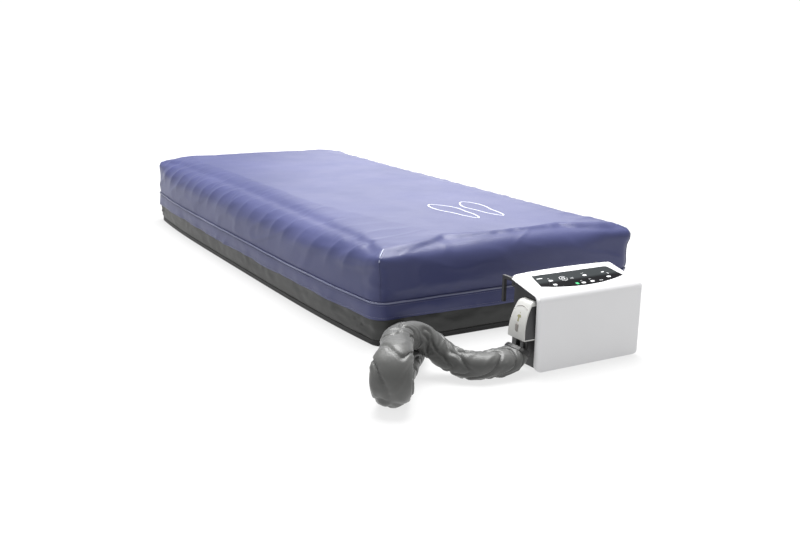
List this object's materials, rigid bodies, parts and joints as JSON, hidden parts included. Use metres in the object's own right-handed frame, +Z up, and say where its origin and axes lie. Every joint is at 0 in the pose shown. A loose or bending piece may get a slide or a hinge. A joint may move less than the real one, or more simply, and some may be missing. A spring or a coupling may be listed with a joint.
{
  "type": "pressure relief mattress",
  "caption": "Alternating pressure relief mattress: zipped blue cover over air cells and a foam base, with a hose sleeve to its pump.",
  "frame": {"origin": "middle of the mattress underside, on the surface it lies on", "axes": "+X to the right seen from the foot end, +Y to the head end, +Z up"},
  "size_m": [1.1513, 2.4777, 0.27],
  "materials": {
    "cover_blue": "soft matt coated knit, violet blue",
    "base_grey": "matt coated nylon, grey",
    "base_black": "matt non-slip coated nylon, black",
    "zip_tape": "woven tape, black",
    "zip_teeth": "moulded coil",
    "slider_metal": "die cast",
    "foam": "open cell foam",
    "cell_film": "welded polyurethane film",
    "air_line": "soft clear tube",
    "fitting": "moulded",
    "cpr_red": "moulded, red",
    "pump_white": "fine textured moulding, white",
    "pump_grey": "fine textured moulding, charcoal",
    "rubber_black": "moulded",
    "steel": "plated",
    "panel_black": "glossy printed overlay, black",
    "key_grey": "satin moulding, light grey",
    "lamp_green": "clear green window",
    "board_green": "coated laminate",
    "compressor_alloy": "cast",
    "coil_copper": "lacquered copper winding",
    "valve_cream": "moulded",
    "inner_hose": "silicone",
    "fitting_black": "moulded",
    "rocker_green": "moulded, green",
    "filter_foam": "reticulated foam",
    "connector_white": "fine textured moulding, off white",
    "button_grey": "moulded, grey",
    "hose_black": "smooth hose",
    "sleeve_grey": "soft woven nylon, grey"
  },
  "bodies": {
    "root": {"base_panel": "base_black", "base_cover": "base_grey", "zip_tape": "zip_tape", "zip_teeth": "zip_teeth", "zip_flap": "cover_blue", "top_cover": "cover_blue", "foam_base": "foam", "cell_sheet": "cell_film", "air_cells_a": "cell_film", "air_cells_b": "cell_film", "air_line_a": "air_line", "air_line_b": "air_line", "cell_spigots": "fitting", "inlet_links": "air_line", "hose_port": "pump_grey", "cpr_links": "air_line", "cpr_valve": "cpr_red", "pump_shell": "pump_white", "pump_chassis": "pump_grey", "rear_cover": "pump_grey", "pump_feet": "rubber_black", "housing_screws": "steel", "control_panel": "panel_black", "status_light": "lamp_green", "circuit_board": "board_green", "compressor_case": "compressor_alloy", "drive_coil": "coil_copper", "diaphragms": "rubber_black", "rubber_mounts": "rubber_black", "valve_body": "valve_cream", "valve_motor": "steel", "inner_hoses": "inner_hose", "outlet_socket": "fitting_black", "power_inlet": "fitting_black", "fuse_drawer": "fitting_black", "switch_housing": "fitting_black", "air_filter": "filter_foam", "filter_cover": "pump_grey", "hook_pins": "steel", "air_hose_a": "hose_black", "air_hose_b": "hose_black", "hose_sleeve": "sleeve_grey"},
    "zip_slider": {"zip_slider": "slider_metal"},
    "cpr_knob": {"cpr_knob": "cpr_red"},
    "power_rocker": {"switch_rocker": "rocker_green"},
    "air_plug": {"connector_hood": "connector_white", "connector_nozzles": "fitting_black", "nozzle_rings": "rubber_black"},
    "plug_button": {"release_button": "button_grey"},
    "left_hook": {"hook_left": "pump_grey"},
    "right_hook": {"hook_right": "pump_grey"},
    "air_rotor": {"valve_rotor": "valve_cream"},
    "pump_lever": {"armature": "steel"},
    "mute_key": {"mute_key": "key_grey"},
    "lock_key": {"lock_key": "key_grey"},
    "mode_key": {"mode_key": "key_grey"},
    "static_key": {"static_key": "key_grey"},
    "firmer_key": {"firmer_key": "key_grey"},
    "softer_key": {"softer_key": "key_grey"}
  },
  "joints": [
    {"name": "zip_slide", "type": "slide", "parent": "root", "child": "zip_slider", "axis": [0, 1, 0], "range_m": [0, 1.86]},
    {"name": "cpr_turn", "type": "hinge", "parent": "root", "child": "cpr_knob", "pos_m": [0.388, 1.01, 0.045], "axis": [0, 1, 0], "range_deg": [0, 90]},
    {"name": "mute_press", "type": "slide", "parent": "root", "child": "mute_key", "axis": [0, 0.225, -0.9744], "range_m": [0, 0.0006], "stiffness_N_per_m": 300},
    {"name": "lock_press", "type": "slide", "parent": "root", "child": "lock_key", "axis": [0, 0.225, -0.9744], "range_m": [0, 0.0006], "stiffness_N_per_m": 300},
    {"name": "mode_press", "type": "slide", "parent": "root", "child": "mode_key", "axis": [0, 0.225, -0.9744], "range_m": [0, 0.0006], "stiffness_N_per_m": 300},
    {"name": "static_press", "type": "slide", "parent": "root", "child": "static_key", "axis": [0, 0.225, -0.9744], "range_m": [0, 0.0006], "stiffness_N_per_m": 300},
    {"name": "firmer_press", "type": "slide", "parent": "root", "child": "firmer_key", "axis": [0, 0.225, -0.9744], "range_m": [0, 0.0006], "stiffness_N_per_m": 300},
    {"name": "softer_press", "type": "slide", "parent": "root", "child": "softer_key", "axis": [0, 0.225, -0.9744], "range_m": [0, 0.0006], "stiffness_N_per_m": 300},
    {"name": "power_switch", "type": "hinge", "parent": "root", "child": "power_rocker", "pos_m": [0.144, -1.319, 0.112], "axis": [0, 1, 0], "range_deg": [-16, 0]},
    {"name": "plug_pull", "type": "slide", "parent": "root", "child": "air_plug", "axis": [-1, 0, 0], "range_m": [0, 0.03], "deforming": ["air_hose_a", "air_hose_b", "hose_sleeve"]},
    {"name": "plug_release", "type": "slide", "parent": "air_plug", "child": "plug_button", "axis": [1, 0, 0], "range_m": [0, 0.002], "stiffness_N_per_m": 500},
    {"name": "left_hook_fold", "type": "hinge", "parent": "root", "child": "left_hook", "pos_m": [-0.178, -1.25, 0.217], "axis": [0, 0, 1], "range_deg": [-90, 0]},
    {"name": "right_hook_fold", "type": "hinge", "parent": "root", "child": "right_hook", "pos_m": [0.141, -1.25, 0.217], "axis": [0, 0, 1], "range_deg": [0, 90]},
    {"name": "rotor_turn", "type": "hinge", "parent": "root", "child": "air_rotor", "pos_m": [-0.0885, -1.335, 0.06], "axis": [0, 0, 1], "continuous": true},
    {"name": "lever_rock", "type": "hinge", "parent": "root", "child": "pump_lever", "pos_m": [0.0435, -1.307, 0.0433], "axis": [0, 0, 1], "range_deg": [-2, 2], "stiffness_Nm_per_rad": 1}
  ]
}
